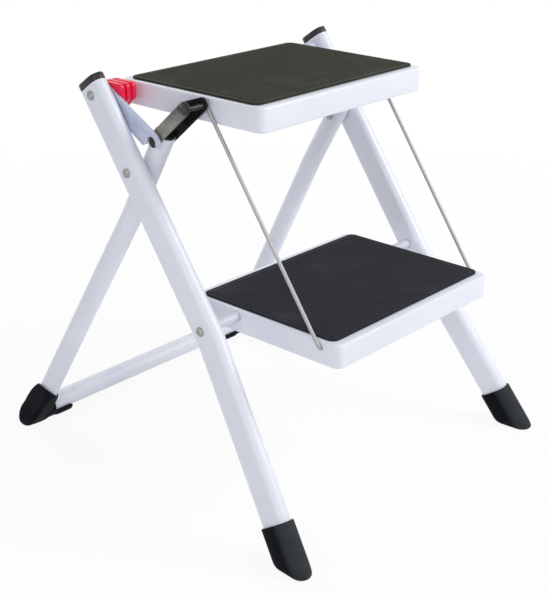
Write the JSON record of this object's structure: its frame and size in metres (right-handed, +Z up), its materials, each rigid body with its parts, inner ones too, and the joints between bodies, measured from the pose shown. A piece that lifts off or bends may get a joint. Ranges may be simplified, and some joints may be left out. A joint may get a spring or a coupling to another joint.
{
  "type": "folding step stool",
  "caption": "Folding step stool: white tube frame, rubber-matted steel treads on hinges, thin hanger rods, and on the left a channel link and a red safety catch beside the top tread.",
  "frame": {"origin": "on the floor, under the middle of the bounding box of the open stool", "axes": "+Z up, the treads face -Y and the rear legs stand behind at +Y, +X to the right as seen from the front"},
  "size_m": [0.4744, 0.5231, 0.494],
  "materials": {
    "white_paint": "satin powder coat",
    "black_plastic": "moulded",
    "black_rubber": "moulded",
    "mat_rubber": "ribbed",
    "bright_wire": "bright plated",
    "zinc_steel": "zinc plated",
    "black_enamel": "semi-gloss enamel",
    "grey_enamel": "satin",
    "red_plastic": "moulded"
  },
  "bodies": {
    "front_frame": {"stile_left": "white_paint", "stile_right": "white_paint", "stile_cap_left": "black_plastic", "stile_cap_right": "black_plastic", "front_foot_left": "black_rubber", "front_foot_right": "black_rubber", "top_hinge_bolt_left": "zinc_steel", "top_hinge_bolt_right": "zinc_steel", "top_hinge_spacer_left": "white_paint", "top_hinge_spacer_right": "white_paint", "top_hinge_nut_left": "zinc_steel", "top_hinge_nut_right": "zinc_steel", "lower_hinge_bolt_left": "zinc_steel", "lower_hinge_bolt_right": "zinc_steel", "lower_hinge_spacer_left": "white_paint", "lower_hinge_spacer_right": "white_paint", "lower_hinge_nut_left": "zinc_steel", "lower_hinge_nut_right": "zinc_steel", "cross_bolt_left": "zinc_steel", "cross_bolt_right": "zinc_steel", "cross_spacer_left": "white_paint", "cross_spacer_right": "white_paint", "cross_nut_left": "zinc_steel", "cross_nut_right": "zinc_steel"},
    "rear_frame": {"rear_leg_left": "white_paint", "rear_leg_right": "white_paint", "rear_crossbar": "white_paint", "rear_shoe_left": "black_rubber", "rear_shoe_right": "black_rubber", "leg_plug_left": "black_plastic", "leg_plug_right": "black_plastic", "link_leg_pin": "zinc_steel"},
    "top_step": {"top_pan": "white_paint", "top_mat": "mat_rubber"},
    "lower_step": {"lower_pan": "white_paint", "lower_mat": "mat_rubber"},
    "hanger_rods": {"hanger_rod_left": "bright_wire", "hanger_rod_right": "bright_wire", "rod_clip_top_left": "zinc_steel", "rod_clip_top_right": "zinc_steel", "rod_clip_low_left": "zinc_steel", "rod_clip_low_right": "zinc_steel"},
    "fold_link": {"prop_link": "black_enamel", "link_tread_pin": "zinc_steel"},
    "safety_catch": {"catch_arm": "grey_enamel", "catch_thumb": "red_plastic"}
  },
  "joints": [
    {"name": "rear_fold", "type": "hinge", "parent": "front_frame", "child": "rear_frame", "pos_m": [0, 0.03127, 0.38927], "axis": [-1, 0, 0], "range_deg": [0, 57.5]},
    {"name": "top_step_hinge", "type": "hinge", "parent": "front_frame", "child": "top_step", "pos_m": [0, 0.0862, 0.468], "axis": [1, 0, 0], "range_deg": [0, 45]},
    {"name": "lower_step_hinge", "type": "hinge", "parent": "front_frame", "child": "lower_step", "pos_m": [0, -0.08018, 0.2295], "axis": [1, 0, 0], "range_deg": [0, 45]},
    {"name": "hanger_swing", "type": "hinge", "parent": "top_step", "child": "hanger_rods", "pos_m": [0, -0.0398, 0.468], "axis": [-1, 0, 0], "range_deg": [0, 45]},
    {"name": "fold_link_swing", "type": "hinge", "parent": "rear_frame", "child": "fold_link", "pos_m": [0, 0.01217, 0.42303], "axis": [1, 0, 0], "range_deg": [0, 138.8]},
    {"name": "catch_lift", "type": "hinge", "parent": "front_frame", "child": "safety_catch", "pos_m": [0, 0.0862, 0.468], "axis": [-1, 0, 0], "range_deg": [0, 25]}
  ],
  "couplings": [
    {"joint": "top_step_hinge", "follows": "rear_fold", "ratio": 0.7826},
    {"joint": "lower_step_hinge", "follows": "rear_fold", "ratio": 0.7826},
    {"joint": "hanger_swing", "follows": "rear_fold", "ratio": 0.7826},
    {"joint": "fold_link_swing", "follows": "rear_fold", "ratio": 2.4139}
  ]
}
